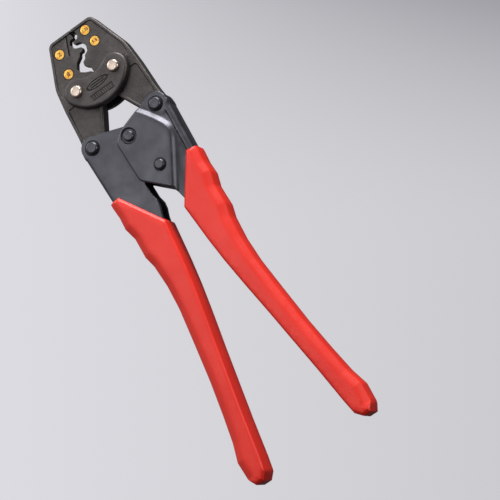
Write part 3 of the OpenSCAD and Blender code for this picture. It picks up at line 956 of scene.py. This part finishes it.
RIVET_SHANK, PAWL_SHANK, JAW_PIN_SHANK = 2.4, 1.9, 2.6
FLAT_PART = 0.62              # part of a head's radius that is flat
WALL_PART = 0.2               # part of a head's height that is a straight wall
HEAD_STEPS = 7


def head(radius, face, top, side):
    """(radius, y) points of a pin's head from its centre outwards: a flat top and a rounded rim."""
    flat, height = FLAT_PART * radius, top - face
    points = [(0, side * top)]
    for i in range(HEAD_STEPS + 1):
        a = math.pi / 2 * i / HEAD_STEPS
        rise = height * (WALL_PART + (1 - WALL_PART) * math.cos(a))
        points.append((flat + (radius - flat) * math.sin(a), side * (face + rise)))
    return points + [(radius, side * face)]


def rivet(node, centre, face, shank):
    """A rivet with a head on both faces."""
    low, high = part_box(node)
    radius, top = (high.x - low.x) / 2 / MM, high.y / MM
    profile = head(radius, face, top, FRONT) + [(shank, -face), (shank, face)]
    profile += head(radius, face, top, BACK)[::-1]
    body = body_of(nodes[node])[0]
    soften(lathe(node + "_rivet", profile, centre, "black_rivet", body, (node,), ring=False))


def jaw_pins():
    """Two pins with a head in front and a chamfered end behind."""
    low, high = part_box("jaw_pins")
    radius, end = high.x / MM - PIN_X, high.y / MM
    face, chamfer = LINK_FACE - 0.05, 0.4
    for side_x, stands_for in ((LEFT, ("jaw_pins",)), (RIGHT, ())):
        profile = head(radius, face, -low.y / MM, FRONT)
        profile += [(JAW_PIN_SHANK, -face), (JAW_PIN_SHANK, end - chamfer),
                    (JAW_PIN_SHANK - chamfer, end), (0, end)]
        centre = (side_x * PIN_X, PIN_Z)
        soften(lathe("jaw_pin", profile, centre, "nickel", "head", stands_for, ring=False))


rivet("left_tail_pin", (-TAIL.x, TAIL.z), PLATE_FACE - SEAT_DEPTH, RIVET_SHANK)
rivet("right_tail_pin", (TAIL.x, TAIL.z), PLATE_FACE - SEAT_DEPTH, RIVET_SHANK)
rivet("centre_pin", (0, CENTRE_Z), COVER_FACE - DIMPLE_DEPTH, RIVET_SHANK)
rivet("pawl_pin", (PAWL.x, PAWL.z), COVER_FACE - SEAT_DEPTH, PAWL_SHANK)
jaw_pins()


# ------------------------------------------------------------------ discs and numerals

NUMERALS = {"left_jaw": ("2", "8"), "right_jaw": ("1.25", "5.5")}    # on each jaw's upper and lower disc
NUMERAL_SIZE = {1: 3.7, 3: 2.7, 4: 2.2}       # by number of characters
NUMERAL_RAISE, NUMERAL_WEIGHT = 0.04, 0.06
# The dark ring of painted shade in the gap around a disc: distance beyond the disc's rim, and height over
# the panel.
GAP_PROFILE = ((-0.05, -0.1), (-0.02, 0.05), (0.3, 0.07), (0.55, 0.02), (0.55, -0.1))


def numeral(text, centre, body):
    """A size numeral stamped on a disc."""
    curve = bpy.data.curves.new("numeral", "FONT")
    curve.body, curve.size = text, NUMERAL_SIZE[len(text)] * MM
    curve.align_x, curve.align_y = "CENTER", "CENTER"
    curve.extrude, curve.offset = NUMERAL_RAISE * MM, NUMERAL_WEIGHT * MM
    helper = bpy.data.objects.new("numeral", curve)
    mesh = bpy.data.meshes.new_from_object(helper)
    bpy.data.objects.remove(helper)
    name = "numeral_" + text
    mesh.name = name
    obj = bpy.data.objects.new(name, mesh)
    bpy.context.scene.collection.objects.link(obj)
    turn = Matrix.Rotation(math.radians(90), 4, "X")
    mesh.transform(Matrix.Translation(Vector((centre[0], -PANEL_FACE, centre[1])) * MM) @ turn)
    paint(obj, "stamped")
    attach(obj, body)


for body, texts in NUMERALS.items():
    discs = body.replace("jaw", "size_discs")
    centres = disc_centres(discs)
    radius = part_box(discs)[1].x / MM - max(x for x, _ in centres)
    gap = [(radius + beyond, -PANEL_FACE - height) for beyond, height in GAP_PROFILE]
    for text, centre in zip(texts, centres):
        numeral(text, centre, body)
        # The ring around each disc is a dark sheet of painted shade.
        soften(lathe("disc_ring_" + text, gap, centre, "dark_gap", body))


# ------------------------------------------------------------------ the CAD's own parts

SLOT_OF = {p["node"]: p["material_slot"] for p in frame["record"]["subparts"]}
SMALL_BEVEL = 0.12
BEVELS = {"jaw_pin_nuts": 0.3, "jaw_pin_washers": 0.15, "ratchet_pawl": 0.2, "pawl_spacers": 0.15}
for name, obj in nodes.items():
    paint(obj, SLOT_OF[name])
    soften(obj, BEVELS.get(name, SMALL_BEVEL), 3 if "jaw" in name else 2)


# ------------------------------------------------------------------ stage, light and camera

YAW, PITCH, ROLL = math.radians(12.9), math.radians(-15.14), math.radians(30.85)
VIEW_DISTANCE = 1.0
VIEW_WIDTH = 0.2608
TARGET = Vector((0.0231, 0, (PIN_Z - 125.3) * MM))

away = Vector((math.sin(YAW) * math.cos(PITCH), -math.cos(YAW) * math.cos(PITCH), math.sin(PITCH)))
level = Vector((math.cos(YAW), math.sin(YAW), 0))
rise = Vector((-math.sin(YAW) * math.sin(PITCH), math.cos(YAW) * math.sin(PITCH), math.cos(PITCH)))
right = level * math.cos(ROLL) - rise * math.sin(ROLL)
up = level * math.sin(ROLL) + rise * math.cos(ROLL)

camera = bpy.data.objects.new("camera", bpy.data.cameras.new("camera"))
bpy.context.scene.collection.objects.link(camera)
camera.data.sensor_width = 36
camera.data.lens = 36 * VIEW_DISTANCE / VIEW_WIDTH
turn = Matrix((right, up, away)).transposed().to_4x4()
camera.matrix_world = Matrix.Translation(TARGET + away * VIEW_DISTANCE) @ turn
bpy.context.scene.camera = camera
bpy.context.scene.view_settings.view_transform = "Standard"


LIGHT_DISTANCE = 0.9


def softbox(name, direction, size, watts):
    """An area light that looks at the target from a direction given as (right, up, towards camera)."""
    light = bpy.data.lights.new(name, "AREA")
    light.shape, light.size, light.energy = "DISK", size, watts
    obj = bpy.data.objects.new(name, light)
    bpy.context.scene.collection.objects.link(obj)
    toward = (right * direction[0] + up * direction[1] + away * direction[2]).normalized()
    aim = toward.to_track_quat("Z", "Y").to_matrix().to_4x4()
    obj.matrix_world = Matrix.Translation(TARGET + toward * LIGHT_DISTANCE) @ aim


softbox("key", (-0.08, 1.0, 0.24), 0.5, 11)       # on the shoulder's upper slope
softbox("side", (-1.0, 0.45, 0.12), 0.4, 2)       # on edges that face left
softbox("front", (-0.61, 0.2, 0.77), 0.45, 1.0)   # on the flat front faces
softbox("glint", (0.64, 0.31, 0.7), 0.1, 2.2)     # on the shoulder's right slope


def backdrop_colour(tree):
    """The backdrop's tone over the picture, with its light painted in: palest on the left, and greyest, as
    painted shade, in the top right corner.
    """
    new, link = tree.nodes.new, tree.links.new
    place, parts = new("ShaderNodeTexCoord"), new("ShaderNodeSeparateXYZ")
    link(place.outputs["Window"], parts.inputs[0])
    above = new("ShaderNodeMapRange")
    above.inputs["From Min"].default_value = 0.5
    link(parts.outputs["Y"], above.inputs["Value"])
    corner, squared = new("ShaderNodeMath"), new("ShaderNodeMath")
    corner.operation = squared.operation = "MULTIPLY"
    link(above.outputs[0], squared.inputs[0])
    link(above.outputs[0], squared.inputs[1])
    link(parts.outputs["X"], corner.inputs[0])
    link(squared.outputs[0], corner.inputs[1])
    across, graded = new("ShaderNodeMix"), new("ShaderNodeMix")
    across.data_type = graded.data_type = "RGBA"
    across.inputs[6].default_value, across.inputs[7].default_value = rgb(220, 219, 225), rgb(204, 204, 208)
    graded.inputs[7].default_value = rgb(160, 160, 166)
    link(parts.outputs["X"], across.inputs[0])
    link(across.outputs[2], graded.inputs[6])
    link(corner.outputs[0], graded.inputs[0])
    return graded.outputs[2]


def studio_world():
    """Plain backdrop for the camera, and a soft sky. The sky is bright towards the picture's top left,
    and dim towards its bottom right."""
    world = bpy.data.worlds.new("studio")
    bpy.context.scene.world = world
    world.use_nodes = True
    new, link = world.node_tree.nodes.new, world.node_tree.links.new
    world.node_tree.nodes.clear()
    place, height, ramp = new("ShaderNodeTexCoord"), new("ShaderNodeVectorMath"), new("ShaderNodeValToRGB")
    height.operation = "DOT_PRODUCT"
    height.inputs[1].default_value = up * 0.62 - right * 0.78
    link(place.outputs["Generated"], height.inputs[0])
    scale = new("ShaderNodeMapRange")
    scale.inputs["From Min"].default_value, scale.inputs["From Max"].default_value = -1, 1
    link(height.outputs["Value"], scale.inputs["Value"])
    link(scale.outputs[0], ramp.inputs[0])
    stops = ramp.color_ramp.elements
    stops[0].position, stops[0].color = 0.0, (0.04, 0.04, 0.045, 1)
    stops[1].position, stops[1].color = 1.0, (0.85, 0.85, 0.87, 1)
    for position, grey in ((0.48, 0.1), (0.62, 0.2), (0.78, 0.5)):
        stops.new(position).color = (grey, grey, grey * 1.03, 1)
    sky, plain = new("ShaderNodeBackground"), new("ShaderNodeBackground")
    link(ramp.outputs[0], sky.inputs["Color"])
    link(backdrop_colour(world.node_tree), plain.inputs["Color"])
    rays, mix, out = new("ShaderNodeLightPath"), new("ShaderNodeMixShader"), new("ShaderNodeOutputWorld")
    link(rays.outputs["Is Camera Ray"], mix.inputs[0])
    link(sky.outputs[0], mix.inputs[1])
    link(plain.outputs[0], mix.inputs[2])
    link(mix.outputs[0], out.inputs[0])


def pale_floor():
    """A pale floor under the grip ends. Far out it glows with the backdrop's painted tone, so that it fades
    into the backdrop. It is clear to a camera below it.
    """
    bpy.ops.mesh.primitive_circle_add(vertices=96, radius=4, fill_type="NGON", location=(0, 0, -0.0005))
    floor = bpy.context.object
    floor.name = "floor"
    t = Tree("floor")
    t.put(t.shader.inputs["Base Color"], t.mix(t.noise(300, 2), rgb(214, 214, 218), rgb(219, 219, 223)))
    t.put(t.shader.inputs["Roughness"], 0.8)
    far = t.ramp(t.add("ShaderNodeVectorMath", {0: t.place}, operation="LENGTH").outputs["Value"], 0.5, 1.6)
    glow = t.add("ShaderNodeEmission", {"Color": backdrop_colour(t.material.node_tree)})
    fade = t.add("ShaderNodeMixShader", {0: far, 1: t.shader.outputs[0], 2: glow.outputs[0]})
    eye = t.add("ShaderNodeVectorTransform", {0: (0, 0, 0)}, vector_type="POINT", convert_from="CAMERA",
                convert_to="WORLD")
    below = t.ramp(t.add("ShaderNodeSeparateXYZ", {0: eye.outputs[0]}).outputs["Z"], 0.002, 0.001)
    clear = t.add("ShaderNodeBsdfTransparent")
    both = t.add("ShaderNodeMixShader", {0: below, 1: fade.outputs[0], 2: clear.outputs[0]})
    t.put(t.nodes["Material Output"].inputs["Surface"], both.outputs[0])
    floor.data.materials.append(t.material)


studio_world()
pale_floor()
